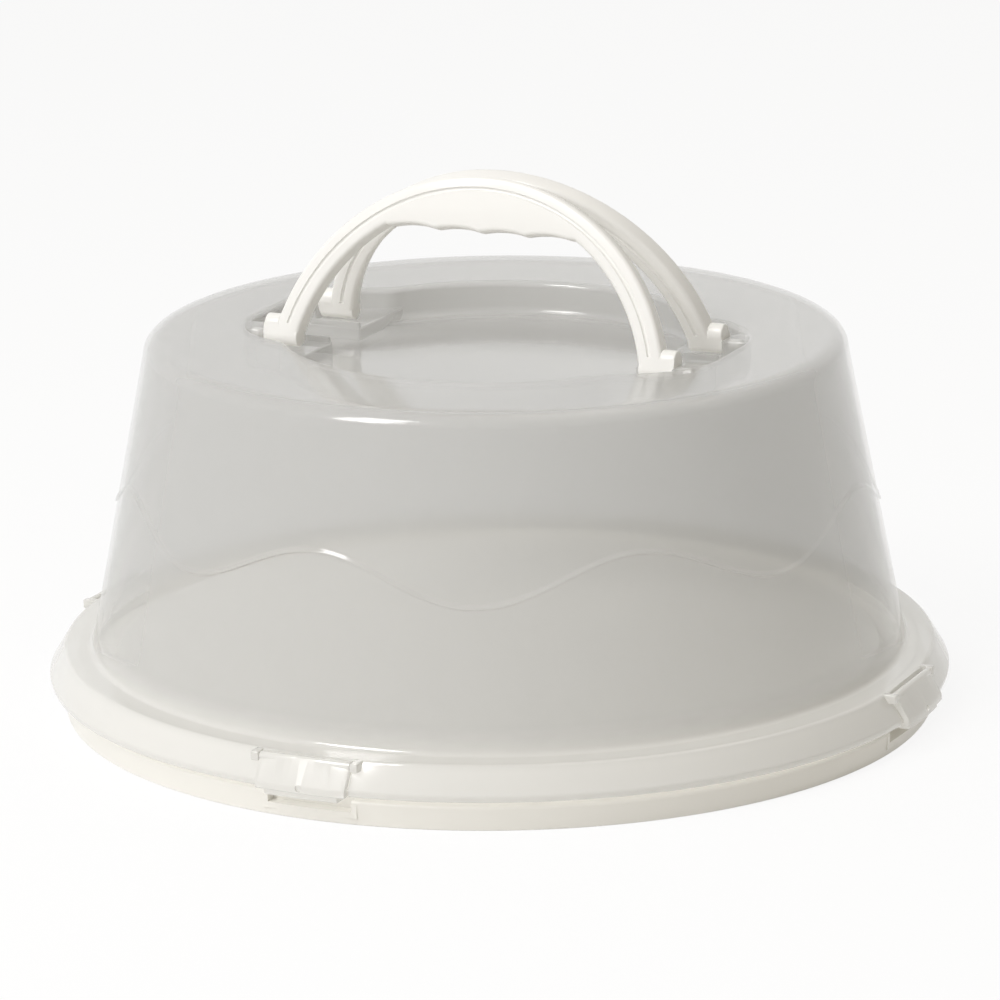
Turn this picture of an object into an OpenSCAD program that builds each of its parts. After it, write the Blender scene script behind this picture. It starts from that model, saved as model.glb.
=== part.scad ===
// Round cake carrier: a tray, a clear domed cover with a sunk top, two carrying
// handles that lean together, and four snap clips around the cover's skirt.
// Origin: centre of the tray's foot on the table. +Z up, +X along the handle pins,
// -Y towards the front clip. The model is drawn closed, with both handles raised.

/* [Cover] */
// Widest radius of the cover, at its skirt
skirt_r = 176; // [165:0.5:190]
// Height of the cover's flat top above the table
cover_h = 147; // [130:1:170]
// Wall of the cover
cover_wall = 1.8; // [1.4:0.1:2.4]
// Height of the skirt's lower edge above the table
skirt_low = 12.6; // [11.8:0.1:13.4]
// Height of the widest line of the skirt above its lower edge
skirt_bead = 2.4; // [1:0.1:4]
// How far the skirt draws in from its widest line up to the flange
skirt_flare = 6.3; // [5:0.1:8]
// Height of the flange's top above the table
flange_z = 25.2; // [24:0.1:28]
// Width of the flange, from its outer edge to the foot of the wall
flange_w = 10.8; // [9.5:0.1:14]
// Radius of the wall where the shoulder starts
shoulder_r = 136.2; // [130:0.1:142]
// Width of the rounded shoulder
shoulder_w = 10.2; // [6:0.1:14]
// Height of the rounded shoulder
shoulder_h = 6.2; // [4:0.1:10]
// Bevel on the lower outer edge of the skirt and on the tray's ledge
bevel = 0.6; // [0.3:0.1:1]

/* [Wave line on the cover] */
// Number of waves around the wall
wave_count = 8; // [4:1:12]
// Height of the wave's middle above the table
wave_z = 86.5; // [70:0.5:100]
// Height of a crest above the wave's middle
wave_amp = 8.5; // [3:0.5:12]
// Width of the raised line
wave_w = 1.8; // [1.2:0.1:3]
// How far the line stands out of the wall
wave_out = 0.6; // [0.3:0.1:1.2]

/* [Sunk top of the cover] */
// Radius of the round recess
recess_r = 82; // [78:0.5:90]
// Depth of the recess below the flat top
recess_depth = 13; // [12:0.1:16]
// Half width of the two bays that hold the handle feet
bay_half_w = 47; // [44:0.5:52]
// Radius of the bays' corners
bay_corner = 35; // [25:1:40]
// Height of the seats under the handle feet, above the recess floor
seat_h = 5; // [4:0.1:5]
// Distance of each seat's inner face from the middle line
seat_y = 12; // [10:0.5:16]
// Distance of each seat's inner end from the centre
seat_x = 64; // [58:0.5:66]
// Thickness of the low wall along each seat
seat_wall = 2; // [1.2:0.1:2.5]
// Height of the low wall along each seat
seat_wall_h = 2.2; // [1:0.1:3]

/* [Handles] */
// Outer radius of the handle's arch
arch_r = 83.4; // [78:0.1:86]
// Depth of the arch's centre below the pin axis
arch_drop = 15.9; // [10:0.1:22]
// Width of the handle bar, seen from the front
bar_w = 10; // [8:0.1:12]
// Thickness of the handle bar, from front to back
bar_t = 8; // [6:0.1:9]
// Height of the grip at the crown
grip_h = 21.6; // [16:0.1:26]
// Pitch of the finger hollows
finger_pitch = 18.7; // [16:0.1:20]
// Depth of a finger hollow
finger_deep = 2; // [1:0.1:3]
// Width of the ridge between two finger hollows
ridge_w = 1; // [0.6:0.1:3]
// Width of the groove along the faces of the bar
groove_w = 2.4; // [1.5:0.1:4]
// Depth of the groove
groove_deep = 1.2; // [0.5:0.1:2]
// Angle by which each raised handle leans inwards
lean = 18; // [14:0.5:22]
// Length of the foot outside the bar, along the pin
ear_w = 4.2; // [3:0.1:6]
// Height of the foot above the pin axis, to the centre of its round end
ear_h = 4.2; // [2:0.1:6]
// Diameter of the pins
pin_d = 4; // [3:0.1:4.4]
// Length of a pin
pin_l = 6; // [4:0.1:7]
// Depth of the pin axis below the cover's flat top
pin_below = 3.7; // [3.4:0.1:4.5]
// Length of the lug that holds a pin
lug_w = 10.6; // [9:0.1:14]
// Height by which the lugs stay below the flat top
lug_below = 0.8; // [0.4:0.1:1]
// Distance from the pin axis to the sides of its lug
lug_side = 6.5; // [5:0.1:9]

/* [Clips] */
// Width of a clip
clip_w = 36.4; // [30:0.2:38]
// Thickness of a clip
clip_t = 2.3; // [1.8:0.1:2.6]
// How far a clip stands out of the skirt
clip_out = 2.4; // [1.6:0.1:3]
// Distance of a clip's hinge axis outside the flange's edge
hinge_out = 1.9; // [1.6:0.1:2.4]
// Depth of a clip's hinge axis below the flange's top, and half the height of its lugs
hinge_below = 1.8; // [1.8:0.1:2.2]
// Radius of the clip's hinge barrel
barrel_r = 1.7; // [1.4:0.1:1.7]
// Distance from the hinge axis in to the edge of the opening for the clip
window_in = 2.6; // [2.2:0.1:2.8]
// Diameter of the clip's hinge pins
clip_pin_d = 2; // [1.4:0.1:2.2]
// Length of a clip's hinge pins
clip_pin_l = 2.4; // [1.5:0.1:2.6]
// Width of the lugs beside a clip
clip_lug_w = 3.2; // [2.6:0.1:4.5]
// Width of the hook under a clip
hook_w = 30; // [24:0.2:31]
// Thickness of the hook
hook_t = 2.2; // [1.6:0.1:2.4]
// Diameter of the dimple near the clip's lower edge
dimple_d = 2.6; // [1.5:0.1:3]
// Depth of the dimple
dimple_deep = 0.8; // [0.4:0.1:1]

/* [Tray] */
// Distance from the skirt's widest line in to the tray's side
tray_inset = 5.5; // [5:0.1:6.5]
// Height of the tray's outer ledge
ledge_z = 9.5; // [8.5:0.1:10]
// Wall of the tray
tray_wall = 2.2; // [1.8:0.1:2.6]
// Draw-in of the tray's side at the table
foot_draft = 0.9; // [0.3:0.1:2]
// Distance from the flange's edge in to the tray's upstanding rim
rim_inset = 4.7; // [4.2:0.1:5.4]
// Width of the channel inside the rim
channel_w = 11.5; // [8:0.1:16]
// Depth of the channel below the rim
channel_deep = 6.9; // [4:0.1:7.5]
// Depth of the serving plate below the rim
plate_drop = 0.8; // [0.4:0.1:2]
// Width of the slope between plate and channel
plate_slope = 2.5; // [1:0.1:4]
// Width of a finger notch in the tray's side
notch_w = 34; // [33:0.2:38]
// Height of a finger notch
notch_h = 4.5; // [3.5:0.1:5]
// Depth of the catch groove behind each hook
catch_deep = 0.9; // [0.5:0.1:1.2]
// Height of the catch groove above the tray's ledge
catch_h = 3.5; // [3:0.1:4]

/* [Clearances] */
// Running fit of the pins, on the radius
pin_fit = 0.05; // [0.03:0.01:0.1]
// Gap between pieces that pass each other
gap = 0.3; // [0.2:0.05:0.4]
// Gap between a hook and the tray's rim
hook_gap = 0.5; // [0.3:0.05:0.8]

/* [Hidden] */
$fn = 120;
far = 400;
lap = 1;
lid_color = [0.80, 0.80, 0.78, 0.45];
clip_color = [0.86, 0.86, 0.83, 0.8];
white = [0.94, 0.93, 0.90];

// Cover, from its outside in
flange_r = skirt_r - skirt_flare;
wall_foot_r = flange_r - flange_w;
shoulder_z = cover_h - shoulder_h;
wall_slope = (wall_foot_r - shoulder_r) / (shoulder_z - flange_z);
top_r = shoulder_r - shoulder_w;
widest_z = skirt_low + skirt_bead;
floor_z = cover_h - recess_depth;
side_wall = cover_wall * sqrt(1 + wall_slope * wall_slope);
flare_wall = cover_wall * sqrt(1 + pow(skirt_flare / (flange_z - widest_z), 2));
arc_steps = 8;
wave_steps = 6;

// Handles
pin_z = cover_h - pin_below;
crown = arch_r - arch_drop;
pin_y = crown * sin(lean) + bar_t / 2 * cos(lean) + gap / 2;
foot_x = sqrt(arch_r * arch_r - arch_drop * arch_drop);
ear_x = foot_x + ear_w;
lug_x = ear_x + gap;
bay_x = lug_x + lug_w;
seat_z = floor_z + seat_h;

// Tray's rim, which the flange rests on
rim_r = flange_r - rim_inset;
rim_z = flange_z - cover_wall;

// Clips
hinge_r = flange_r + hinge_out;
hinge_z = flange_z - hinge_below;
clip_face_r = skirt_r + clip_out;
clip_lug_x = clip_w / 2 + gap;
hook_z = skirt_low - hook_t;
hook_r = rim_r + hook_gap;

// Tray
tray_r = skirt_r - tray_inset;
channel_z = rim_z - channel_deep;
plate_z = rim_z - plate_drop;
channel_r = rim_r - tray_wall - channel_w;
plate_r = channel_r - plate_slope;
notch_z = ledge_z - notch_h;

function wall_r(z) = wall_foot_r - wall_slope * (z - flange_z);

// Quarter round of the shoulder, from the wall up to the flat top; w and h are its half axes
function shoulder_arc(w, h, z) =
    [for (i = [0 : arc_steps]) [top_r + w * cos(i * 90 / arc_steps), z - h + h * sin(i * 90 / arc_steps)]];

function turned_back(points) = [for (i = [len(points) - 1 : -1 : 0]) points[i]];

// Walled section of the cover: up the outside, then down the inside
function cover_section() = concat(
    [[skirt_r - bevel, skirt_low], [skirt_r, widest_z], [flange_r, flange_z], [wall_foot_r, flange_z]],
    shoulder_arc(shoulder_w, shoulder_h, cover_h),
    [[0, cover_h], [0, cover_h - cover_wall]],
    turned_back(shoulder_arc(shoulder_w - side_wall, shoulder_h - cover_wall, cover_h - cover_wall)),
    [[wall_foot_r - side_wall, rim_z], [flange_r - cover_wall / 2, rim_z]],
    [[skirt_r - flare_wall, widest_z], [skirt_r - bevel - cover_wall, skirt_low]]);

// Section of the tray: along the top from the centre, then back underneath
function tray_section() = [
    [0, plate_z], [plate_r, plate_z], [channel_r, channel_z], [rim_r - 1.5 * tray_wall, channel_z],
    [rim_r - tray_wall, rim_z], [rim_r, rim_z], [rim_r, ledge_z], [tray_r - bevel, ledge_z],
    [tray_r, ledge_z - bevel], [tray_r - foot_draft, 0], [tray_r - foot_draft - tray_wall, 0],
    [tray_r - tray_wall, ledge_z - tray_wall], [rim_r - tray_wall, ledge_z - tray_wall],
    [rim_r - tray_wall, channel_z - tray_wall], [channel_r - tray_wall / 2, channel_z - tray_wall],
    [plate_r - tray_wall / 2, plate_z - tray_wall], [0, plate_z - tray_wall]];

// Point of the wave's flat drawing at step j of half a wave, side by side with its neighbour
function wave_point(j, side) = [
    wall_r(wave_z) * tan(j * 180 / wave_count / wave_steps),
    wave_z + wave_amp * cos(j * 180 / wave_steps) + side * wave_w / 2];

// Outline of the recess and its two bays, grown outwards by g
module recess_outline(g) {
    circle(r = recess_r + g);
    square([2 * (bay_x + g), 2 * (bay_half_w - bay_corner)], center = true);
    square([2 * (bay_x - bay_corner), 2 * (bay_half_w + g)], center = true);
    for (sx = [-1, 1], sy = [-1, 1])
        translate([sx * (bay_x - bay_corner), sy * (bay_half_w - bay_corner)]) circle(r = bay_corner + g);
}

// One copy for each of the four clips, the first at the front
module at_clips() {
    for (turn = [0 : 90 : 270]) rotate([0, 0, turn]) children();
}

// One copy for each of the four handle feet
module at_feet() {
    for (sx = [0, 1], sy = [0, 1]) mirror([sx, 0, 0]) mirror([0, sy, 0]) children();
}

// The part of a turned solid that lies at the front within a width and a height
module front_piece(width, low, high) {
    intersection() {
        rotate_extrude() children();
        translate([-width / 2, -far, low]) cube([width, far, high - low]);
    }
}

// Turned ring between two radii and two heights, for use inside front_piece
module ring_section(inner, outer, low, high) {
    translate([inner, low]) square([outer - inner, high - low]);
}

// Raised wave line: a flat band for each wave, pushed outwards through the wall
module wave_ridge() {
    half = 180 / wave_count;
    low = wave_z - 2 * wave_amp;
    high = wave_z + 2 * wave_amp;
    last = wave_steps + 1;
    for (i = [0 : wave_count - 1]) rotate([0, 0, i * 2 * half]) intersection() {
        rotate([90, 0, 0]) linear_extrude(height = skirt_r) polygon(concat(
            [for (j = [-last : last]) wave_point(j, 1)],
            [for (j = [last : -1 : -last]) wave_point(j, -1)]));
        rotate_extrude() polygon([
            [wall_r(low) - side_wall / 2, low], [wall_r(low) + wave_out, low],
            [wall_r(high) + wave_out, high], [wall_r(high) - side_wall / 2, high]]);
        linear_extrude(height = cover_h)
            polygon([[0, 0], [-far * tan(half), -far], [far * tan(half), -far]]);
    }
}

// Seats, low walls and pin lugs for the handle feet, within the recess
module foot_seats() {
    intersection() {
        translate([0, 0, floor_z - cover_wall / 2])
            linear_extrude(height = recess_depth + cover_wall / 2) recess_outline(cover_wall / 2);
        at_feet() {
            translate([seat_x, seat_y, 0]) cube([far, far, seat_z]);
            translate([seat_x, seat_y, floor_z])
                cube([lug_x - seat_x, seat_wall, seat_h + seat_wall_h]);
            translate([lug_x, pin_y - lug_side, floor_z])
                cube([far, 2 * lug_side, recess_depth - lug_below]);
        }
    }
}

// Lugs on both sides of each clip, which hold its hinge pins
module clip_lugs() {
    at_clips() for (s = [0, 1]) mirror([s, 0, 0])
        translate([clip_lug_x, -hinge_r - hinge_below, hinge_z - hinge_below])
            cube([clip_lug_w, hinge_below + window_in + lap, 2 * hinge_below]);
}

// Clear domed cover with the sunk top, the pin lugs and the openings for the clips
module lid() {
    color(lid_color) difference() {
        union() {
            difference() {
                union() {
                    rotate_extrude() polygon(cover_section());
                    translate([0, 0, floor_z - cover_wall])
                        linear_extrude(height = recess_depth + cover_wall) recess_outline(cover_wall);
                }
                translate([0, 0, floor_z]) linear_extrude(height = recess_depth + lap) recess_outline(0);
            }
            foot_seats();
            wave_ridge();
            clip_lugs();
        }
        at_feet() translate([lug_x, pin_y, pin_z]) rotate([0, 90, 0])
            cylinder(r = pin_d / 2 + pin_fit, h = pin_l + gap);
        at_clips() {
            translate([-clip_lug_x, window_in - hinge_r - far, skirt_low - lap])
                cube([2 * clip_lug_x, far, flange_z]);
            translate([-clip_lug_x - clip_pin_l - gap, -hinge_r, hinge_z]) rotate([0, 90, 0])
                cylinder(r = clip_pin_d / 2 + pin_fit, h = 2 * (clip_lug_x + clip_pin_l + gap));
        }
    }
}

// Flat outline of the handle, drawn from the pin axis up
module handle_outline() {
    cusp = crown - grip_h;
    half_w = (finger_pitch - ridge_w) / 2;
    hollow_r = (half_w * half_w + finger_deep * finger_deep) / (2 * finger_deep);
    difference() {
        intersection() {
            translate([0, -arch_drop]) circle(r = arch_r);
            translate([-arch_r, 0]) square([2 * arch_r, arch_r]);
        }
        intersection() {
            translate([0, -arch_drop]) circle(r = arch_r - bar_w);
            translate([-arch_r, -arch_r]) square([2 * arch_r, arch_r + cusp]);
        }
        intersection() {
            for (i = [-1.5 : 1.5])
                translate([i * finger_pitch, cusp + finger_deep - hollow_r]) circle(r = hollow_r);
            translate([-2 * finger_pitch, cusp - lap]) square([4 * finger_pitch, finger_deep + 2 * lap]);
        }
    }
}

// Line that runs along the middle of the bar's faces
module groove_line() {
    groove_r = arch_r - bar_w / 2;
    intersection() {
        translate([0, -arch_drop]) difference() {
            circle(r = groove_r + groove_w / 2);
            circle(r = groove_r - groove_w / 2);
        }
        translate([-arch_r, bar_t]) square([2 * arch_r, crown]);
    }
}

// One handle: the bar, its face grooves, the feet and the pins, upright on its pin axis
module handle() {
    inner_x = sqrt(pow(arch_r - bar_w, 2) - arch_drop * arch_drop);
    difference() {
        rotate([90, 0, 0]) linear_extrude(height = bar_t, center = true) handle_outline();
        for (s = [-1, 1]) translate([0, s * bar_t / 2, 0]) rotate([90, 0, 0])
            linear_extrude(height = 2 * groove_deep, center = true) groove_line();
    }
    for (s = [0, 1]) mirror([s, 0, 0]) {
        translate([inner_x, 0, 0]) rotate([0, 90, 0]) cylinder(d = bar_t, h = ear_x - inner_x);
        translate([foot_x - lap, 0, ear_h]) rotate([0, 90, 0]) cylinder(d = bar_t, h = ear_w + lap);
        translate([foot_x - lap, -bar_t / 2, 0]) cube([ear_w + lap, bar_t, ear_h]);
        translate([ear_x - lap, 0, 0]) rotate([0, 90, 0]) cylinder(d = pin_d, h = pin_l + lap);
    }
}

// Front handle, leaning back to the middle
module front_handle() {
    color(white) translate([0, -pin_y, pin_z]) rotate([-lean, 0, 0]) handle();
}

// Rear handle, the same piece turned round
module rear_handle() {
    color(white) rotate([0, 0, 180]) translate([0, -pin_y, pin_z]) rotate([-lean, 0, 0]) handle();
}

// One clip at the front: curved plate, hinge barrel with pins, straight-nosed hook, and a dimple below
module clip() {
    color(clip_color) difference() {
        union() {
            front_piece(clip_w, skirt_low, flange_z) polygon([
                [hinge_r, hinge_z + barrel_r], [clip_face_r, widest_z], [clip_face_r, skirt_low],
                [clip_face_r - clip_t, skirt_low], [clip_face_r - clip_t, widest_z],
                [hinge_r, hinge_z - barrel_r]]);
            front_piece(hook_w, hook_z, widest_z) polygon([
                [hook_r - lap, hook_z], [clip_face_r - clip_t / 2, hook_z],
                [clip_face_r - clip_t / 2, widest_z],
                [clip_face_r - clip_t, widest_z], [clip_face_r - clip_t, skirt_low],
                [hook_r - lap, skirt_low]]);
            translate([-clip_w / 2, -hinge_r, hinge_z]) rotate([0, 90, 0])
                cylinder(r = barrel_r, h = clip_w);
            translate([-clip_lug_x - clip_pin_l, -hinge_r, hinge_z]) rotate([0, 90, 0])
                cylinder(d = clip_pin_d, h = 2 * (clip_lug_x + clip_pin_l));
        }
        translate([-clip_w, -hook_r, 0]) cube([2 * clip_w, far, flange_z]);
        translate([0, dimple_deep - clip_face_r, skirt_low + 0.8 * dimple_d]) rotate([90, 0, 0])
            cylinder(d = dimple_d, h = clip_t);
    }
}

module clip_front() { clip(); }
module clip_right() { rotate([0, 0, 90]) clip(); }
module clip_back() { rotate([0, 0, 180]) clip(); }
module clip_left() { rotate([0, 0, 270]) clip(); }

// White tray: serving plate, channel, upstanding rim, outer ledge with finger notches
module base_tray() {
    color(white) difference() {
        union() {
            rotate_extrude() polygon(tray_section());
            at_clips() front_piece(notch_w + 2 * tray_wall, notch_z - tray_wall, ledge_z)
                ring_section(rim_r - tray_wall, tray_r - tray_wall / 2, 0, ledge_z);
        }
        at_clips() {
            front_piece(notch_w, notch_z, ledge_z + lap) ring_section(rim_r, tray_r + lap, 0, 2 * ledge_z);
            front_piece(notch_w, ledge_z, ledge_z + catch_h)
                ring_section(rim_r - catch_deep, rim_r + lap, 0, 2 * ledge_z);
        }
    }
}

base_tray();
lid();
front_handle();
rear_handle();
clip_front();
clip_right();
clip_back();
clip_left();
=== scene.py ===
"""Round cake carrier: white tray, translucent cover, folding handles and snap clips.

Lengths are modelled in millimetres; finish_piece() brings each piece to metres. Origin: centre of
the tray's foot on the table, +Z up, +X along the handle pins, -Y towards the front clip.
"""

import math

import bmesh
import bpy
from mathutils import Matrix, Vector


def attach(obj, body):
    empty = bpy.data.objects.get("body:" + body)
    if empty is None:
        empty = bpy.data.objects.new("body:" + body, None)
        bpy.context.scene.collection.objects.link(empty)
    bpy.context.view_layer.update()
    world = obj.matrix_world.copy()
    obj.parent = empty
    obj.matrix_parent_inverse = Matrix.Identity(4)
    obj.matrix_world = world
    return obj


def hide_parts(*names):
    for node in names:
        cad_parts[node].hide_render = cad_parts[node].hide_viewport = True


bl_info = {
    "name": "Round cake carrier",
    "version": (1, 0, 0),
    "blender": (4, 5, 0),
    "location": "View3D > Sidebar > Cake carrier",
    "description": "Models a cake carrier around its packed frame and sets up its stage",
    "category": "Object",
}

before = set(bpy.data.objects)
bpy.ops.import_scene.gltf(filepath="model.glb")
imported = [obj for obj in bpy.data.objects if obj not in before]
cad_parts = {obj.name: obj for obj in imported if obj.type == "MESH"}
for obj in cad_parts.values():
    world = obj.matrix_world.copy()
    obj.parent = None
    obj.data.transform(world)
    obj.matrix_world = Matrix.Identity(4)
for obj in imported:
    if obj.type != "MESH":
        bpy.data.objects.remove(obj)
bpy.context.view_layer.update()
MM = 0.001
AROUND = 360  # points on each ring of the round pieces


def linear(hex_code):
    """Linear red, green and blue of an sRGB hex colour."""
    parts = [int(hex_code[i : i + 2], 16) / 255 for i in (1, 3, 5)]
    return [p / 12.92 if p <= 0.04045 else ((p + 0.055) / 1.055) ** 2.4 for p in parts]


def length(name, description, millimetres):
    """A size that the user can change, in metres."""
    return bpy.props.FloatProperty(
        name=name,
        description=description,
        default=millimetres * MM,
        min=0.0,
        precision=4,
        unit="LENGTH",
        subtype="DISTANCE",
    )


def tint(name, description, hex_code):
    """A colour that the user can change."""
    return bpy.props.FloatVectorProperty(
        name=name,
        description=description,
        default=linear(hex_code),
        min=0.0,
        max=1.0,
        size=3,
        subtype="COLOR",
    )


class CoverSettings(bpy.types.PropertyGroup):
    """Sizes and colour of the translucent cover."""

    height: length("Height", "Flat top above the table", 147)
    skirt_radius: length("Skirt radius", "Widest radius, at the skirt", 176)
    recess_radius: length("Recess radius", "Round part of the sunk top", 82)
    recess_depth: length("Recess depth", "Sunk floor below the flat top", 13)
    wave_height: length("Wave height", "Crest above the wave's middle", 8.5)
    wave_out: length("Wave relief", "How far the wave line stands out", 0.8)
    colour: tint("Colour", "Milky natural plastic", "#C5C5C3")
    # skirt colour: painted light of the white tray showing through the milky plastic
    skirt_colour: tint("Skirt colour", "Milky plastic backed by the tray", "#E2E1DD")


class HandleSettings(bpy.types.PropertyGroup):
    """Sizes and colour of the two handles."""

    arch_radius: length("Arch radius", "Outer radius of the arch", 83.4)
    bar_width: length("Bar width", "Width of the bar, seen from the front", 10)
    bar_depth: length("Bar depth", "Thickness of the bar, front to back", 8)
    grip_height: length("Grip height", "Height of the grip at the crown", 21.6)
    colour: tint("Colour", "White plastic", "#F0EFEC")


class ClipSettings(bpy.types.PropertyGroup):
    """Sizes and colour of the snap clips."""

    width: length("Width", "Width of a clip", 36.4)
    stands_out: length("Stands out", "How far a clip stands out of the skirt", 2.4)
    colour: tint("Colour", "Thick natural plastic, nearly white", "#E2E1DD")


class TraySettings(bpy.types.PropertyGroup):
    """Sizes and colour of the tray."""

    ledge_height: length("Ledge height", "Outer ledge above the table", 9.5)
    rim_height: length("Rim height", "Upstanding rim above the table", 23.4)
    colour: tint("Colour", "White plastic", "#EFEDE7")


class StageSettings(bpy.types.PropertyGroup):
    """Floor, light and camera."""

    floor_size: length("Floor size", "Side of the floor", 6000)
    floor_colour: tint("Floor colour", "Pale floor", "#FAFAFA")


# ---------------------------------------------------------------- modelling tools


def clear_selection():
    """Object mode with nothing selected."""
    if bpy.context.mode != "OBJECT":
        bpy.ops.object.mode_set(mode="OBJECT")
    bpy.ops.object.select_all(action="DESELECT")


def only(piece):
    """Select one object and make it active."""
    clear_selection()
    piece.select_set(True)
    bpy.context.view_layer.objects.active = piece
    return piece


def edit(piece):
    """Open a piece for editing, with nothing selected in it."""
    only(piece)
    bpy.ops.object.mode_set(mode="EDIT")
    bpy.ops.mesh.select_mode(type="VERT")
    bpy.ops.mesh.select_all(action="DESELECT")


def pick(piece, kind, test):
    """In edit mode, select just the vertices, edges or faces that pass a test."""
    bpy.ops.mesh.select_mode(type=kind)
    bpy.ops.mesh.select_all(action="DESELECT")
    mesh = bmesh.from_edit_mesh(piece.data)
    parts = {"VERT": mesh.verts, "EDGE": mesh.edges, "FACE": mesh.faces}[kind]
    for part in [p for p in parts if test(p)]:
        part.select_set(True)
    mesh.select_flush_mode()
    bmesh.update_edit_mesh(piece.data)


def done_editing():
    """Point all faces outwards and leave edit mode."""
    bpy.ops.mesh.select_all(action="SELECT")
    bpy.ops.mesh.normals_make_consistent(inside=False)
    bpy.ops.object.mode_set(mode="OBJECT")


def shape_with(piece, kind, **settings):
    """Add a modifier and apply it."""
    only(piece)
    modifier = piece.modifiers.new(kind.title(), kind)
    for name, value in settings.items():
        setattr(modifier, name, value)
    bpy.ops.object.modifier_apply(modifier=modifier.name)


def combine(piece, other, operation):
    """Join, cut or intersect a piece with another, which is used up."""
    shape_with(piece, "BOOLEAN", object=other, operation=operation, solver="MANIFOLD")
    bpy.data.meshes.remove(other.data)
    return piece


def merge(pieces):
    """Make one object of several that don't touch."""
    only(pieces[0])
    for piece in pieces[1:]:
        piece.select_set(True)
    bpy.ops.object.join()
    return pieces[0]


def turned_copy(piece, degrees, mirror_x=False, mirror_y=False):
    """A copy of a piece, mirrored and then turned about the upright axis, with its own mesh."""
    only(piece)
    bpy.ops.object.duplicate()
    copy = bpy.context.active_object
    copy.scale = (-1 if mirror_x else 1, -1 if mirror_y else 1, 1)
    copy.rotation_euler = (0, 0, math.radians(degrees))
    bpy.ops.object.transform_apply(location=True, rotation=True, scale=True)
    if mirror_x != mirror_y:
        edit(copy)
        done_editing()
    return copy


def four_copies(piece):
    """Copies of a piece at the front, right, back and left. The piece is used up."""
    copies = [turned_copy(piece, degrees) for degrees in (0, 90, 180, 270)]
    bpy.data.meshes.remove(piece.data)
    return copies


def slice_off(place, normal):
    """In edit mode, take away what lies beyond a plane and close the cut."""
    bpy.ops.mesh.select_all(action="SELECT")
    bpy.ops.mesh.bisect(plane_co=place, plane_no=normal, clear_outer=True, use_fill=True)


def block(low, high, bevel=0.0, segments=3):
    """A box between two corners, with its edges rounded."""
    clear_selection()
    size = [b - a for a, b in zip(low, high)]
    middle = [(a + b) / 2 for a, b in zip(low, high)]
    bpy.ops.mesh.primitive_cube_add(size=1, location=middle)
    piece = bpy.context.active_object
    piece.scale = size
    bpy.ops.object.transform_apply(location=True, rotation=True, scale=True)
    if bevel:
        edit(piece)
        bpy.ops.mesh.select_all(action="SELECT")
        bpy.ops.mesh.bevel(offset=bevel, segments=segments, affect="EDGES")
        done_editing()
    return piece


def rod(radius, start, end, axis, points=32, bevel=0.0):
    """A round rod along X, Y or Z between two places, with rounded ends."""
    clear_selection()
    middle = [(a + b) / 2 for a, b in zip(start, end)]
    turn = {"X": (0, math.pi / 2, 0), "Y": (math.pi / 2, 0, 0), "Z": (0, 0, 0)}[axis]
    depth = (Vector(end) - Vector(start)).length
    bpy.ops.mesh.primitive_cylinder_add(
        vertices=points, radius=radius, depth=depth, location=middle, rotation=turn
    )
    piece = bpy.context.active_object
    bpy.ops.object.transform_apply(location=True, rotation=True, scale=True)
    if bevel:
        i = "XYZ".index(axis)
        edit(piece)
        pick(piece, "FACE", lambda f: abs(f.normal[i]) > 0.9)
        bpy.ops.mesh.bevel(offset=bevel, segments=3, affect="EDGES")
        done_editing()
    return piece


def finish_piece(piece, name, body, node, material, smooth=30):
    """Name a piece, bring it to metres, shade it, and tie it to the frame."""
    only(piece)
    piece.scale = (MM, MM, MM)
    bpy.ops.object.transform_apply(location=True, rotation=True, scale=True)
    bpy.ops.object.shade_smooth_by_angle(angle=math.radians(smooth))
    piece.name = piece.data.name = name
    piece.data.materials.clear()
    piece.data.materials.append(material)
    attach(piece, body)
    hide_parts(node)
    return piece


def rounded(points, step=15):
    """Points of a section, each (x, z, radius), with its corners rounded into arcs."""
    out = []
    for i, (x, z, radius) in enumerate(points):
        here = Vector((x, z))
        if not radius or i in (0, len(points) - 1):
            out.append(here)
            continue
        back = (Vector(points[i - 1][:2]) - here).normalized()
        ahead = (Vector(points[i + 1][:2]) - here).normalized()
        half = back.angle(ahead) / 2
        centre = here + (back + ahead).normalized() * (radius / math.sin(half))
        first = here + back * (radius / math.tan(half)) - centre
        turn = math.pi - 2 * half
        if back.x * ahead.y - back.y * ahead.x > 0:
            turn = -turn
        steps = max(2, round(abs(math.degrees(turn)) / step))
        for k in range(steps + 1):
            a = turn * k / steps
            out.append(
                centre
                + Vector(
                    (
                        first.x * math.cos(a) - first.y * math.sin(a),
                        first.x * math.sin(a) + first.y * math.cos(a),
                    )
                )
            )
    return [tuple(p) for p in out]


def loft(rings, count=AROUND):
    """A closed solid through rings of points. A ring gives (radius, height) at an angle."""
    clear_selection()
    bpy.ops.mesh.primitive_circle_add(vertices=count, radius=100, fill_type="NGON")
    piece = bpy.context.active_object
    edit(piece)
    bpy.ops.mesh.select_all(action="SELECT")
    for number, ring in enumerate(rings):
        if number:
            bpy.ops.mesh.extrude_region_move()
        mesh = bmesh.from_edit_mesh(piece.data)
        for vertex in [v for v in mesh.verts if v.select]:
            angle = math.atan2(vertex.co.y, vertex.co.x)
            radius, height = ring(angle)
            vertex.co = (radius * math.cos(angle), radius * math.sin(angle), height)
        bmesh.update_edit_mesh(piece.data)
    done_editing()
    return piece


def round_ring(radius, height):
    """A plain round ring."""
    return lambda angle: (radius, height)


# ---------------------------------------------------------------- materials


def add_node(tree, kind, values=None, links=None, **settings):
    """Add a node with its options, its input values and the sockets that feed it."""
    node = tree.nodes.new(kind)
    for name, value in settings.items():
        setattr(node, name, value)
    for socket, value in (values or {}).items():
        node.inputs[socket].default_value = value
    for socket, source in (links or {}).items():
        tree.links.new(source, node.inputs[socket])
    return node


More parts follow.
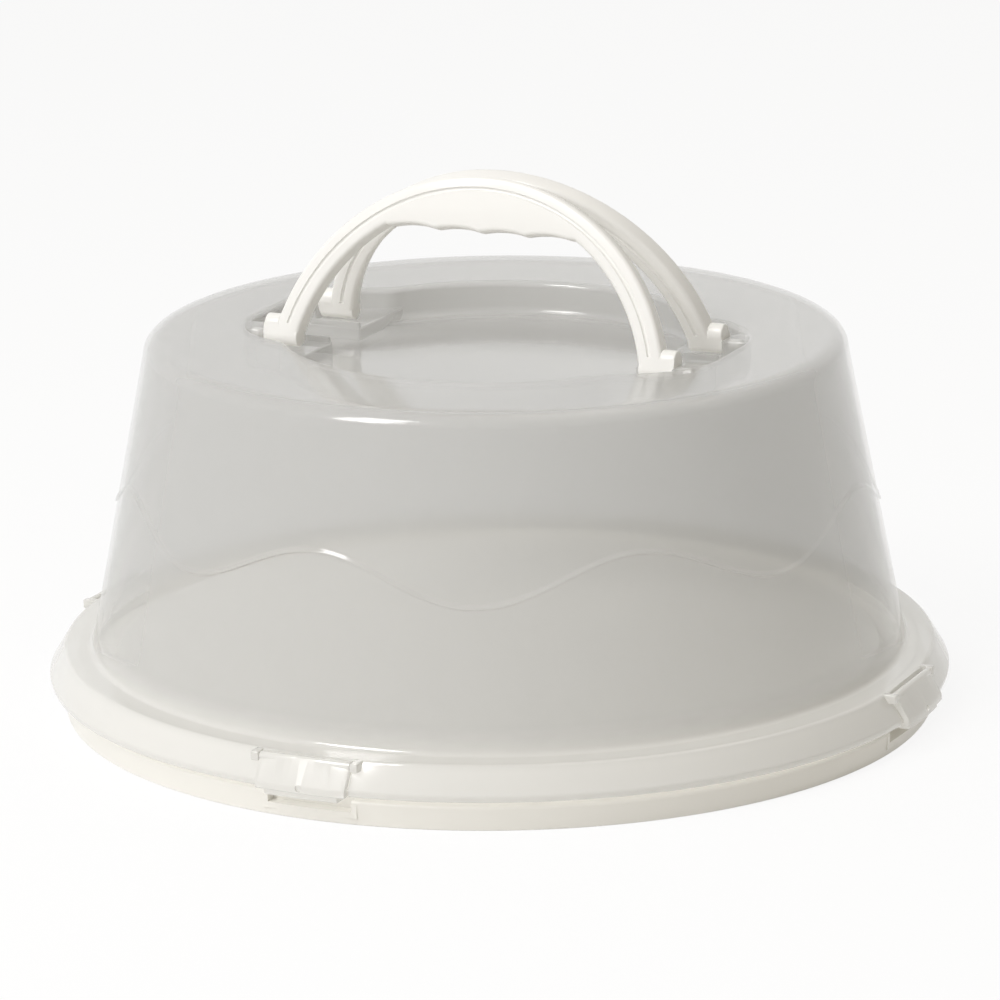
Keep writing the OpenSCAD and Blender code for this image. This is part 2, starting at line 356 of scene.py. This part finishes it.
def new_material(name):
    """An empty node material and its node tree."""
    material = bpy.data.materials.new(name)
    material.use_nodes = True
    material.node_tree.nodes.clear()
    return material, material.node_tree


def seen_rays(tree):
    """A socket that says 1 for rays from the camera, through the cover or off a glossy face."""
    path = add_node(tree, "ShaderNodeLightPath")
    seen = path.outputs["Is Camera Ray"]
    for kind in ("Is Transmission Ray", "Is Glossy Ray"):
        more = {0: seen, 1: path.outputs[kind]}
        seen = add_node(tree, "ShaderNodeMath", links=more, operation="MAXIMUM").outputs[0]
    return seen


def white_polypropylene(name, colour, roughness):
    """Injection-moulded white polypropylene: a satin face with faint flow mottling."""
    material, tree = new_material(name)
    place = add_node(tree, "ShaderNodeTexCoord").outputs["Object"]
    flow = add_node(
        tree,
        "ShaderNodeTexNoise",
        {"Scale": 14.0, "Detail": 3.0, "Roughness": 0.5},
        {"Vector": place},
    )
    shade = add_node(
        tree,
        "ShaderNodeMix",
        {6: (*[c * 0.975 for c in colour], 1), 7: (*colour, 1)},
        {0: flow.outputs["Fac"]},
        data_type="RGBA",
    )
    gloss = add_node(
        tree,
        "ShaderNodeMapRange",
        {"To Min": roughness - 0.05, "To Max": roughness + 0.05},
        {"Value": flow.outputs["Fac"]},
    )
    grain = add_node(
        tree,
        "ShaderNodeTexNoise",
        {"Scale": 900.0, "Detail": 2.0},
        {"Vector": place},
    )
    bump = add_node(
        tree,
        "ShaderNodeBump",
        {"Strength": 0.08, "Distance": 0.0002},
        {"Height": grain.outputs["Fac"]},
    )
    surface = add_node(
        tree,
        "ShaderNodeBsdfPrincipled",
        {"IOR": 1.49},
        {
            "Base Color": shade.outputs[2],
            "Roughness": gloss.outputs[0],
            "Normal": bump.outputs["Normal"],
        },
    )
    add_node(
        tree,
        "ShaderNodeOutputMaterial",
        links={"Surface": surface.outputs["BSDF"]},
    )
    return material


def natural_polypropylene(name, colour, skirt_colour, alpha, skirt_alpha, roughness):
    """Unpigmented polypropylene: milky, glossy outside, lets light and large shapes through.

    The eye sees a grey veil where the wall stands free. Near the tray, at skirt and flange, the
    colour is painted near white: painted light of the white tray showing through the plastic.
    Light scatters forward in it, so it throws only a faint shadow.
    """
    fade_top, fade_foot = 36 * MM, 22 * MM  # heights between which the veil thickens and the painted tray light sets in
    lit_alpha = 0.1  # the plastic's density for lamps and for light between surfaces
    material, tree = new_material(name)
    place = add_node(tree, "ShaderNodeTexCoord").outputs["Object"]
    flow = add_node(
        tree,
        "ShaderNodeTexNoise",
        {"Scale": 9.0, "Detail": 4.0, "Roughness": 0.55},
        {"Vector": place},
    )
    height = add_node(tree, "ShaderNodeSeparateXYZ", links={0: place})
    skirt = add_node(
        tree,
        "ShaderNodeMapRange",
        {"From Min": fade_top, "From Max": fade_foot},
        {"Value": height.outputs["Z"]},
        interpolation_type="SMOOTHSTEP",
    )
    shade = add_node(
        tree,
        "ShaderNodeMix",
        {6: (*[c * 0.97 for c in colour], 1), 7: (*colour, 1)},
        {0: flow.outputs["Fac"]},
        data_type="RGBA",
    )
    # paler towards the skirt: painted light of the white tray behind the wall
    body = add_node(
        tree,
        "ShaderNodeMix",
        {7: (*skirt_colour, 1)},
        {0: skirt.outputs[0], 6: shade.outputs[2]},
        data_type="RGBA",
    )
    veil = add_node(
        tree,
        "ShaderNodeMapRange",
        {"To Min": alpha, "To Max": skirt_alpha},
        {"Value": skirt.outputs[0]},
    )
    ray = add_node(tree, "ShaderNodeLightPath")
    lit_through = add_node(
        tree,
        "ShaderNodeMath",
        links={0: ray.outputs["Is Shadow Ray"], 1: ray.outputs["Is Diffuse Ray"]},
        operation="MAXIMUM",
    )
    density = add_node(
        tree,
        "ShaderNodeMix",
        {3: lit_alpha},
        {0: lit_through.outputs[0], 2: veil.outputs[0]},
        data_type="FLOAT",
    )
    bump = add_node(
        tree,
        "ShaderNodeBump",
        {"Strength": 0.05, "Distance": 0.0004},
        {"Height": flow.outputs["Fac"]},
    )
    surface = add_node(
        tree,
        "ShaderNodeBsdfPrincipled",
        {
            "IOR": 1.49,
            "Roughness": roughness,
            "Specular IOR Level": 0.7,
            "Coat Weight": 0.6,
            "Coat Roughness": 0.05,
        },
        {
            "Base Color": body.outputs[2],
            "Alpha": density.outputs[0],
            "Normal": bump.outputs["Normal"],
        },
    )
    add_node(
        tree,
        "ShaderNodeOutputMaterial",
        links={"Surface": surface.outputs["BSDF"]},
    )
    return material


# ---------------------------------------------------------------- shared sizes, in millimetres

WALL = 1.8  # wall of the cover
WALL_LEVEL = 1.83  # the same wall where it slopes, measured level
FLANGE_R, FLANGE_Z = 169.7, 25.2  # edge and top of the flange
WALL_FOOT_R = 158.9  # where the sloping wall meets the flange
SKIRT_LOW, SKIRT_BEAD_Z = 12.6, 15.0  # lower edge and widest line of the skirt
SHOULDER_R, SHOULDER_W, SHOULDER_H = 136.2, 7.4, 6.6
BAY_X, BAY_Y, BAY_CORNER = 96.97, 47.0, 35.0  # half sizes of the bays beside the recess
WAVES, WAVE_Z = 8, 86.5
DRIFT, DRIFT_FROM = 4.2, 42.0  # degrees by which the crests wander round the wall
# Section of the raised line: height off its middle, and share of its relief
RIDGE = ((1.45, 0), (1.0, 0.3), (0.5, 0.75), (0, 1), (-0.4, 0.95), (-0.7, 0.6), (-0.95, 0))
PIN_Y, PIN_Z = 24.813, 143.3  # the handles' pin axes
LEAN = 18.0  # degrees by which each raised handle leans to the middle
ARCH_DROP = 15.9  # centre of a handle's arch below the pin axis
LUG_X, LUG_HALF = 86.37, 6.5  # inner face and half width of the lugs that hold the pins
SEAT_X, SEAT_Y, SEAT_Z = 64.0, 12.0, 139.0  # seats under the handles' feet
HINGE_R, HINGE_Z = 171.6, 23.4  # the clips' hinge axes
CLIP_LUG_X, CLIP_LUG_W = 18.5, 3.2
RIM_R = 165.0  # the tray's upstanding rim


def recess_reach(angle, grow, recess_r):
    """Distance from the centre to the outline of the round recess with its two bays."""
    c, s = abs(math.cos(angle)), abs(math.sin(angle))
    wide, deep, corner = BAY_X + grow, BAY_Y + grow, BAY_CORNER + grow
    if wide * s <= (deep - corner) * c:
        bay = wide / c
    elif deep * c <= (wide - corner) * s:
        bay = deep / s
    else:
        along = (wide - corner) * c + (deep - corner) * s
        off = (wide - corner) ** 2 + (deep - corner) ** 2 - corner**2
        bay = along + math.sqrt(along * along - off)
    centre = recess_r + grow
    blend = 3.0
    join = max(blend - abs(bay - centre), 0.0) / blend
    return max(bay, centre) + join * join * blend / 4


def recess_ring(grow, height, recess_r):
    """A ring that follows the recess outline."""
    return lambda angle: (recess_reach(angle, grow, recess_r), height)


class CAKE_OT_tray(bpy.types.Operator):
    """Model the white tray with its plate, channel, rim, ledge and foot"""

    bl_idname = "cake.tray"
    bl_label = "Tray"

    def execute(self, context):
        s = context.scene.cake_tray
        rim_z, ledge = s.rim_height / MM, s.ledge_height / MM
        wall, ledge_r, foot_r = 2.2, 170.5, 169.6
        plate_z, channel_z = rim_z - 0.8, 16.5
        under_z, channel_under = plate_z - wall, channel_z - wall
        section = rounded(
            [
                (2, plate_z, 0),
                (60, plate_z, 0),
                (148.8, plate_z, 1.2),
                (151.3, channel_z, 1.2),
                (161.7, channel_z, 1.0),
                (RIM_R - wall, rim_z, 0.6),
                (RIM_R, rim_z, 0.8),
                (RIM_R, ledge, 0.8),
                (ledge_r, ledge, 1.2),
                (foot_r, 0, 0.8),
                (foot_r - wall, 0, 0.6),
                (ledge_r - wall, ledge - wall, 0.8),
                (RIM_R - wall, ledge - wall, 0.6),
                (RIM_R - wall, channel_under, 0.6),
                (150.2, channel_under, 1.0),
                (147.7, under_z, 1.0),
                (60, under_z, 0),
                (2, under_z, 0),
            ],
            22.5,
        )
        tray = loft([round_ring(r, z) for r, z in section])
        notch, shelf = 17, 19.2  # half widths
        notch_z = ledge - 4.5
        low, high = (-shelf, -169.4, notch_z - wall), (shelf, -RIM_R + 1.5, ledge - 1.5)
        combine(tray, merge(four_copies(block(low, high))), "UNION")
        low, high = (-notch, -180, notch_z), (notch, -RIM_R, ledge + 3.5)
        combine(tray, merge(four_copies(block(low, high))), "DIFFERENCE")
        material = white_polypropylene("tray_white_polypropylene", s.colour, 0.34)
        finish_piece(tray, "tray", "tray", "base_tray", material)
        return {"FINISHED"}


class CAKE_OT_cover(bpy.types.Operator):
    """Model the translucent cover with its recess, wave line, flange and skirt"""

    bl_idname = "cake.cover"
    bl_label = "Cover"

    def execute(self, context):
        s = context.scene.cake_cover
        top, skirt = s.height / MM, s.skirt_radius / MM
        recess_r, depth = s.recess_radius / MM, s.recess_depth / MM
        rise, relief = s.wave_height / MM, s.wave_out / MM
        floor, lip, cove = top - depth, 2.4, 3.0
        slope = (WALL_FOOT_R - SHOULDER_R) / (top - SHOULDER_H - FLANGE_Z)

        def wall_r(z):
            return WALL_FOOT_R - slope * (z - FLANGE_Z)

        def inner_wall(z):
            return wall_r(z) - WALL_LEVEL, z, 0

        def recess(grow, z):
            return recess_ring(grow, z, recess_r)

        def shoulder(degrees, inset):
            t = math.radians(degrees)
            return round_ring(
                SHOULDER_R - SHOULDER_W + (SHOULDER_W - inset) * math.cos(t),
                top - SHOULDER_H + (SHOULDER_H - inset) * math.sin(t),
            )

        def wave(offset, out):
            def place(angle):
                around = angle + math.pi / 2
                drift = math.radians(DRIFT) * math.sin(around - math.radians(DRIFT_FROM))
                z = WAVE_Z + rise * math.cos(WAVES * (around - drift)) + offset
                return wall_r(z) + out, z

            return place

        quarter = [math.radians(a) for a in range(0, 91, 15)]
        flat_r = (112, 125.4)  # plain rings on the flat top
        rings = [recess(-cove - 1, floor)]
        for a in quarter:
            rings.append(recess(-cove * (1 - math.sin(a)), floor + cove * (1 - math.cos(a))))
        for a in quarter:
            rings.append(recess(lip * (1 - math.cos(a)), top - lip * (1 - math.sin(a))))
        rings += [recess(lip + 0.6, top)] + [round_ring(r, top) for r in flat_r]
        rings += [shoulder(degrees, 0) for degrees in range(90, 6, -7)]
        rings += [round_ring(wall_r(z), z) for z in (138.5, 124, 108)]
        rings += [wave(8, 0), wave(2.0, 0)]
        rings += [wave(offset, relief * share) for offset, share in RIDGE]
        rings += [wave(-1.5, 0), wave(-8, 0)]
        under = FLANGE_Z - WALL
        outside = rounded(
            [
                (wall_r(62), 62, 0),
                (wall_r(40), 40, 0),
                (WALL_FOOT_R, FLANGE_Z, 2.6),
                (FLANGE_R, FLANGE_Z, 2.0),
                (skirt, SKIRT_BEAD_Z, 1.6),
                (skirt - 0.6, SKIRT_LOW, 0.7),
                (skirt - 0.6 - WALL, SKIRT_LOW, 0.6),
                (173.9, SKIRT_BEAD_Z, 0),
                (168.4, under, 0.6),
                (157.1, under, 1.2),
                *[inner_wall(z) for z in (40, 80, 124, 138.5)],
            ]
        )
        rings += [round_ring(r, z) for r, z in outside]
        rings += [shoulder(degrees, WALL) for degrees in range(8, 91, 9)]
        rings += [round_ring(r, top - WALL) for r in reversed(flat_r)]
        rings += [recess(lip + 0.6, top - WALL)]
        near, far = lip - WALL, cove + WALL
        for a in reversed(quarter):
            rings.append(recess(lip - near * math.cos(a), top - lip + near * math.sin(a)))
        for a in reversed(quarter):
            rings.append(recess(-cove + far * math.sin(a), floor + cove - far * math.cos(a)))
        rings += [recess(-cove - 1, floor - WALL)]
        cover = loft(rings)

        lap = 0.9  # how far seats and lugs run into the recess wall
        seat = loft([recess(lap, floor - lap), recess(lap, SEAT_Z)])
        self.trim(seat, (SEAT_X, SEAT_Y, 0))
        lug = loft([recess(lap, SEAT_Z - 1), recess(lap, top - 0.8)])
        self.trim(lug, (LUG_X, PIN_Y - LUG_HALF, 0), PIN_Y + LUG_HALF)
        low = (SEAT_X + 0.6, SEAT_Y + 0.3, SEAT_Z - 1)
        high = (LUG_X + 1, SEAT_Y + 2.3, SEAT_Z + 2.2)
        combine(seat, lug, "UNION")
        combine(seat, block(low, high, 0.5, 2), "UNION")
        corners, cuts = [], []
        bore_r, bore_x = 2.05, (LUG_X - 1, LUG_X + 6.3)
        for mirror_x in (False, True):
            for mirror_y in (False, True):
                corners.append(turned_copy(seat, 0, mirror_x, mirror_y))
                x = (-bore_x[1], -bore_x[0]) if mirror_x else bore_x
                y = -PIN_Y if mirror_y else PIN_Y
                cuts.append(rod(bore_r, (x[0], y, PIN_Z), (x[1], y, PIN_Z), "X"))
        bpy.data.meshes.remove(seat.data)
        combine(cover, merge(corners), "UNION")

        lugs = []
        for side in (-1, 1):
            x = sorted((side * CLIP_LUG_X, side * (CLIP_LUG_X + CLIP_LUG_W)))
            low = (x[0], -HINGE_R - 1.8, HINGE_Z - 1.8)
            lugs.append(block(low, (x[1], -167.5, HINGE_Z + 1.75), 0.5))
        combine(cover, merge(four_copies(merge(lugs))), "UNION")
        window = block((-CLIP_LUG_X, -200, 11), (CLIP_LUG_X, -169, 37))
        combine(cover, merge(cuts + four_copies(window)), "DIFFERENCE")
        material = natural_polypropylene(
            "natural_polypropylene", s.colour, s.skirt_colour, 0.46, 0.8, 0.12
        )
        finish_piece(cover, "cover", "cover", "lid", material)
        return {"FINISHED"}

    @staticmethod
    def trim(piece, corner, far_y=None):
        """Keep the part of a solid beyond a corner in X and Y, and round the edges of the cuts."""
        planes = [((corner[0], 0, 0), (-1, 0, 0)), ((0, corner[1], 0), (0, -1, 0))]
        if far_y:
            planes.append(((0, far_y, 0), (0, 1, 0)))
        edit(piece)
        for place, normal in planes:
            slice_off(place, normal)
        high = max(v.co.z for v in bmesh.from_edit_mesh(piece.data).verts)
        close = 1e-3

        def free(edge):
            a, b = (v.co for v in edge.verts)
            on_x = max(abs(a.x - corner[0]), abs(b.x - corner[0])) < close
            on_y = max(abs(a.y - corner[1]), abs(b.y - corner[1])) < close
            if far_y:
                on_y = on_y or max(abs(a.y - far_y), abs(b.y - far_y)) < close
            on_top = min(a.z, b.z) > high - close
            return (on_x and on_y) or (on_top and (on_x or on_y))

        pick(piece, "EDGE", free)
        bpy.ops.mesh.bevel(offset=0.9, segments=3, affect="EDGES")
        done_editing()


class CAKE_OT_handles(bpy.types.Operator):
    """Model the two white handles with their grips, grooves, feet and pins"""

    bl_idname = "cake.handles"
    bl_label = "Handles"

    def execute(self, context):
        s = context.scene.cake_handles
        arch, bar = s.arch_radius / MM, s.bar_width / MM
        deep, grip = s.bar_depth / MM, s.grip_height / MM
        handle = self.bar_with_grip(arch, bar, deep, grip)
        foot_x = math.sqrt(arch**2 - ARCH_DROP**2)
        inner_x = math.sqrt((arch - bar) ** 2 - ARCH_DROP**2)
        ear = 4.2  # how far the ears stand up and out at the feet
        ear_x, back_x = foot_x + ear, foot_x - 2
        pin_r, pin_from, pin_to = 2, ear_x - 1, ear_x + 6
        for side in (-1, 1):
            x = sorted((side * back_x, side * ear_x))
            for part in (
                rod(deep / 2, (side * inner_x, 0, 0), (side * ear_x, 0, 0), "X", 48, 0.6),
                block((x[0], -deep / 2 + 0.01, 0), (x[1], deep / 2 - 0.01, ear)),
                rod(deep / 2, (side * back_x, 0, ear), (side * ear_x, 0, ear), "X", 48, 0.6),
                rod(pin_r, (side * pin_from, 0, 0), (side * pin_to, 0, 0), "X", 32, 0.4),
            ):
                combine(handle, part, "UNION")
        material = white_polypropylene("handle_white_polypropylene", s.colour, 0.3)
        for name, turn in (("front_handle", 0), ("rear_handle", 180)):
            copy = turned_copy(handle, 0)
            copy.matrix_world = (
                Matrix.Rotation(math.radians(turn), 4, "Z")
                @ Matrix.Translation((0, -PIN_Y, PIN_Z))
                @ Matrix.Rotation(math.radians(-LEAN), 4, "X")
            )
            only(copy)
            bpy.ops.object.transform_apply(location=True, rotation=True, scale=True)
            finish_piece(copy, name + "_grip", name, name, material)
        bpy.data.meshes.remove(handle.data)
        return {"FINISHED"}

    def bar_with_grip(self, arch, bar, deep, grip):
        """The arched bar and its grip in one, with rounded edges and a groove on each face."""
        edge, groove_r, groove_foot = 1.7, 0.85, 4.5
        sides = []
        for degrees in (0, 22.5, 45, 67.5, 90):
            a = math.radians(degrees)
            sides.append((edge * (1 - math.sin(a)), deep / 2 - edge * (1 - math.cos(a))))
        levels = [(d, -y) for d, y in sides] + [(d, y) for d, y in reversed(sides)]
        count = len(self.outline(arch, bar, grip, 0))
        clear_selection()
        bpy.ops.mesh.primitive_circle_add(vertices=count, radius=1, fill_type="NGON")
        piece = bpy.context.active_object
        edit(piece)
        bpy.ops.mesh.select_all(action="SELECT")
        for number, (inward, y) in enumerate(levels):
            if number:
                bpy.ops.mesh.extrude_region_move()
            mesh = bmesh.from_edit_mesh(piece.data)
            ring = sorted((v for v in mesh.verts if v.select), key=lambda v: v.index)
            for vertex, (x, z) in zip(ring, self.outline(arch, bar, grip, inward)):
                vertex.co = (x, y, z)
            bmesh.update_edit_mesh(piece.data)
        done_editing()
        for side in (-1, 1):
            clear_selection()
            bpy.ops.mesh.primitive_torus_add(
                major_segments=240,
                minor_segments=20,
                major_radius=arch - bar / 2,
                minor_radius=groove_r,
                location=(0, side * deep / 2, -ARCH_DROP),
                rotation=(math.pi / 2, 0, 0),
            )
            groove = bpy.context.active_object
            bpy.ops.object.transform_apply(location=True, rotation=True, scale=True)
            edit(groove)
            slice_off((0, 0, groove_foot), (0, 0, -1))
            done_editing()
            combine(piece, groove, "DIFFERENCE")
        return piece

    def outline(self, arch, bar, grip, inward):
        """Points of the handle's outline from the front, moved inwards by a distance."""
        drop, outer, inner = ARCH_DROP, arch - inward, arch - bar + inward
        cusp = arch - drop - grip
        pitch, hollow = 18.7, 1.1  # of the four finger hollows; 1 mm stays flat between them
        half = (pitch - 1) / 2
        hollow_r = (half * half + hollow * hollow) / (2 * hollow)

        def lower(x):
            """Height of the grip's lower edge, with its finger hollows."""
            edge = cusp + inward
            for place in (-1.5, -0.5, 0.5, 1.5):
                reach = (hollow_r + inward) ** 2 - (x - place * pitch) ** 2
                if reach > 0:
                    edge = max(edge, cusp + hollow - hollow_r + math.sqrt(reach))
            return edge

        over_steps, leg_steps, grip_steps = 180, 40, 160
        start, low_start = math.asin(drop / outer), math.asin(drop / inner)
        meet = math.asin((cusp + inward + drop) / inner)
        over = [start + (math.pi - 2 * start) * i / over_steps for i in range(over_steps + 1)]
        points = [(outer * math.cos(a), outer * math.sin(a) - drop) for a in over]
        down = [low_start + (meet - low_start) * i / leg_steps for i in range(leg_steps + 1)]
        leg = [(inner * math.cos(a), inner * math.sin(a) - drop) for a in down]
        points += [(-x, z) for x, z in leg]
        grip_x = [leg[-1][0] * (2 * i / grip_steps - 1) for i in range(1, grip_steps)]
        points += [(x, lower(x)) for x in grip_x]
        return points + leg[::-1]


class CAKE_OT_clips(bpy.types.Operator):
    """Model the four snap clips with their hinge barrels, pins and hooks"""

    bl_idname = "cake.clips"
    bl_label = "Clips"

    def execute(self, context):
        s = context.scene.cake_clips
        half, out = s.width / MM / 2, s.stands_out / MM
        face = context.scene.cake_cover.skirt_radius / MM + out
        back, middle = face - 2.3, face - 1.15
        plate = self.sector(
            [
                (HINGE_R - 0.6, HINGE_Z - 1.3),
                (HINGE_R + 0.4, HINGE_Z + 1.65),
                (HINGE_R + 1.3, HINGE_Z + 1.2),
                (face - 0.15, 15.6),
                (face, 14.6),
                (face, 13.1),
                (face - 0.5, SKIRT_LOW),
                (face - 2.0, SKIRT_LOW),
                (back, 13.0),
                (back, SKIRT_BEAD_Z),
            ],
            half,
            0.35,
        )
        hook_half, hook_r, hook_low = 15, RIM_R + 0.5, 10.4
        hook = self.sector(
            [
                (hook_r, hook_low),
                (hook_r, SKIRT_LOW),
                (back, SKIRT_LOW),
                (back, SKIRT_BEAD_Z),
                (middle, SKIRT_BEAD_Z),
                (middle, hook_low + 0.5),
                (middle - 0.5, hook_low),
            ],
            hook_half,
            0.3,
        )
        edit(hook)
        slice_off((0, -hook_r, 0), (0, 1, 0))
        done_editing()
        combine(plate, hook, "UNION")
        for radius, end, points, bevel in ((1.7, half, 32, 0.3), (1.0, half + 2.7, 24, 0.2)):
            ends = (-end, -HINGE_R, HINGE_Z), (end, -HINGE_R, HINGE_Z)
            axle = rod(radius, *ends, "X", points, bevel)
            combine(plate, axle, "UNION")
        dimple_z = 14.7
        dimple = rod(1.3, (0, -face + 0.8, dimple_z), (0, -face - 2, dimple_z), "Y", 24)
        combine(plate, dimple, "DIFFERENCE")
        material = natural_polypropylene(
            "thick_natural_polypropylene", s.colour, s.colour, 0.85, 0.85, 0.2
        )
        nodes = ("clip_front", "clip_right", "clip_back", "clip_left")
        for node, copy in zip(nodes, four_copies(plate)):
            finish_piece(copy, "snap_" + node, node, node, material)
        return {"FINISHED"}

    @staticmethod
    def sector(section, half, bevel):
        """Part of a turned ring at the front, cut square at both ends, with rounded ends."""
        clear_selection()
        bpy.ops.mesh.primitive_circle_add(vertices=len(section), radius=1, fill_type="NGON")
        piece = bpy.context.active_object
        inside_r = 160  # less than any radius of the sections
        reach = math.asin(half / inside_r)
        turn = Matrix.Rotation(-math.pi / 2 + reach, 3, "Z")
        for vertex, (r, z) in zip(piece.data.vertices, section):
            vertex.co = turn @ Vector((r, 0, z))
        edit(piece)
        bpy.ops.mesh.select_all(action="SELECT")
        bpy.ops.mesh.spin(steps=24, angle=2 * reach, center=(0, 0, 0), axis=(0, 0, 1))
        if min(v.co.x for v in bmesh.from_edit_mesh(piece.data).verts) > -half:
            raise RuntimeError("the clip's plate was turned the wrong way")
        for side in (-1, 1):
            slice_off((side * half, 0, 0), (side, 0, 0))
        done_editing()

        def is_end(face):
            return abs(face.normal.x) > 0.9 and abs(abs(face.calc_center_median().x) - half) < 0.01

        edit(piece)
        pick(piece, "FACE", is_end)
        bpy.ops.mesh.bevel(offset=bevel, segments=2, affect="EDGES")
        done_editing()
        return piece


class CAKE_OT_stage(bpy.types.Operator):
    """Set up the pale floor, the soft light and the camera"""

    bl_idname = "cake.stage"
    bl_label = "Stage"

    def execute(self, context):
        s = context.scene.cake_stage
        clear_selection()
        bpy.ops.mesh.primitive_plane_add(size=s.floor_size)
        floor = bpy.context.active_object
        floor.name = "floor"
        floor.data.materials.append(self.floor_material(s.floor_colour))
        self.backdrop(context)
        self.lamps()
        self.camera(context)
        return {"FINISHED"}

    @staticmethod
    def floor_material(colour):
        """Pale floor that the camera sees as white paper, with the object's shadow on it."""
        material, tree = new_material("white_floor")
        paper = 0.86  # share of plain white in what is seen of the floor
        share = add_node(
            tree, "ShaderNodeMath", {1: paper}, {0: seen_rays(tree)}, operation="MULTIPLY"
        )
        paint = add_node(tree, "ShaderNodeBsdfDiffuse", {"Color": (*colour, 1)})
        white = add_node(tree, "ShaderNodeEmission", {"Color": (1, 1, 1, 1), "Strength": 1.0})
        mixed = add_node(
            tree,
            "ShaderNodeMixShader",
            links={0: share.outputs[0], 1: paint.outputs[0], 2: white.outputs[0]},
        )
        add_node(tree, "ShaderNodeOutputMaterial", links={"Surface": mixed.outputs[0]})
        return material

    @staticmethod
    def backdrop(context):
        """White to look at, and soft room light: bright on the left, dim and warm on the right."""
        world = bpy.data.worlds.new("studio")
        context.scene.world = world
        world.use_nodes = True
        tree = world.node_tree
        tree.nodes.clear()
        towards = add_node(tree, "ShaderNodeTexCoord").outputs["Generated"]
        photo_right = (0.91, 0.41, 0.0)
        rightward = add_node(
            tree,
            "ShaderNodeVectorMath",
            {1: photo_right},
            {0: towards},
            operation="DOT_PRODUCT",
        )
        fade = add_node(
            tree, "ShaderNodeMapRange", {"From Min": -1.0}, {"Value": rightward.outputs["Value"]}
        )
        room = add_node(
            tree,
            "ShaderNodeMix",
            {6: (0.62, 0.62, 0.62, 1), 7: (0.29, 0.265, 0.215, 1)},
            {0: fade.outputs[0]},
            data_type="RGBA",
        )
        sky = add_node(tree, "ShaderNodeBackground", {"Strength": 1.0}, {"Color": room.outputs[2]})
        white = add_node(tree, "ShaderNodeBackground", {"Color": (1, 1, 1, 1), "Strength": 1.0})
        mixed = add_node(
            tree,
            "ShaderNodeMixShader",
            links={0: seen_rays(tree), 1: sky.outputs[0], 2: white.outputs[0]},
        )
        add_node(tree, "ShaderNodeOutputWorld", links={"Surface": mixed.outputs[0]})

    @staticmethod
    def lamps():
        """A tall window at the upper left front and a weaker warm lamp above."""
        aim_at = Vector((0, 0, 0.08))
        for name, place, wide, high, power, colour in (
            ("key_window", (-0.6, -1.32, 1.68), 0.55, 0.95, 27, (1.0, 0.99, 0.98)),
            ("top_warm", (0.3, 0.7, 2.0), 1.2, 1.2, 3.5, (1.0, 0.94, 0.82)),
        ):
            light = bpy.data.lights.new(name, "AREA")
            light.shape = "RECTANGLE"
            light.energy, light.size, light.size_y, light.color = power, wide, high, colour
            lamp = bpy.data.objects.new(name, light)
            bpy.context.scene.collection.objects.link(lamp)
            lamp.location = place
            aim = aim_at - Vector(place)
            lamp.rotation_euler = aim.to_track_quat("-Z", "Y").to_euler()

    @staticmethod
    def camera(context):
        """A long lens at the photograph's angle, a little out of level."""
        data = bpy.data.cameras.new("view")
        camera = bpy.data.objects.new("view", data)
        context.scene.collection.objects.link(camera)
        azimuth, elevation = math.radians(24.5), math.radians(15.22)
        target, distance, roll = Vector((0, 0, 0.0786)), 2.1417, -0.0122
        back = Vector(
            (
                math.sin(azimuth) * math.cos(elevation),
                -math.cos(azimuth) * math.cos(elevation),
                math.sin(elevation),
            )
        )
        camera.location = target + back * distance
        level = (-back).to_track_quat("-Z", "Y").to_matrix().to_4x4()
        camera.rotation_euler = (level @ Matrix.Rotation(roll, 4, "Z")).to_euler()
        data.lens, data.sensor_width, data.shift_x = 198, 36, 0.0024
        context.scene.camera = camera
        context.scene.view_settings.view_transform = "Standard"


class CAKE_PT_panel(bpy.types.Panel):
    """Settings and steps of the cake carrier"""

    bl_idname = "CAKE_PT_panel"
    bl_label = "Cake carrier"
    bl_space_type = "VIEW_3D"
    bl_region_type = "UI"
    bl_category = "Cake carrier"

    def draw(self, context):
        for group, operator in STEPS:
            box = self.layout.box()
            settings = getattr(context.scene, group)
            for name in settings.bl_rna.properties.keys():
                if name not in ("rna_type", "name"):
                    box.prop(settings, name)
            box.operator(operator)


STEPS = (
    ("cake_tray", "cake.tray"),
    ("cake_cover", "cake.cover"),
    ("cake_handles", "cake.handles"),
    ("cake_clips", "cake.clips"),
    ("cake_stage", "cake.stage"),
)
GROUPS = {
    "cake_tray": TraySettings,
    "cake_cover": CoverSettings,
    "cake_handles": HandleSettings,
    "cake_clips": ClipSettings,
    "cake_stage": StageSettings,
}
CLASSES = (
    *GROUPS.values(),
    CAKE_OT_tray,
    CAKE_OT_cover,
    CAKE_OT_handles,
    CAKE_OT_clips,
    CAKE_OT_stage,
    CAKE_PT_panel,
)


def register():
    for cls in CLASSES:
        bpy.utils.register_class(cls)
    for name, group in GROUPS.items():
        setattr(bpy.types.Scene, name, bpy.props.PointerProperty(type=group))


def unregister():
    for name in GROUPS:
        delattr(bpy.types.Scene, name)
    for cls in reversed(CLASSES):
        bpy.utils.unregister_class(cls)


def main():
    """Build every piece and the stage."""
    register()
    bpy.ops.cake.tray()
    bpy.ops.cake.cover()
    bpy.ops.cake.handles()
    bpy.ops.cake.clips()
    bpy.ops.cake.stage()


if __name__ == "__main__":
    main()
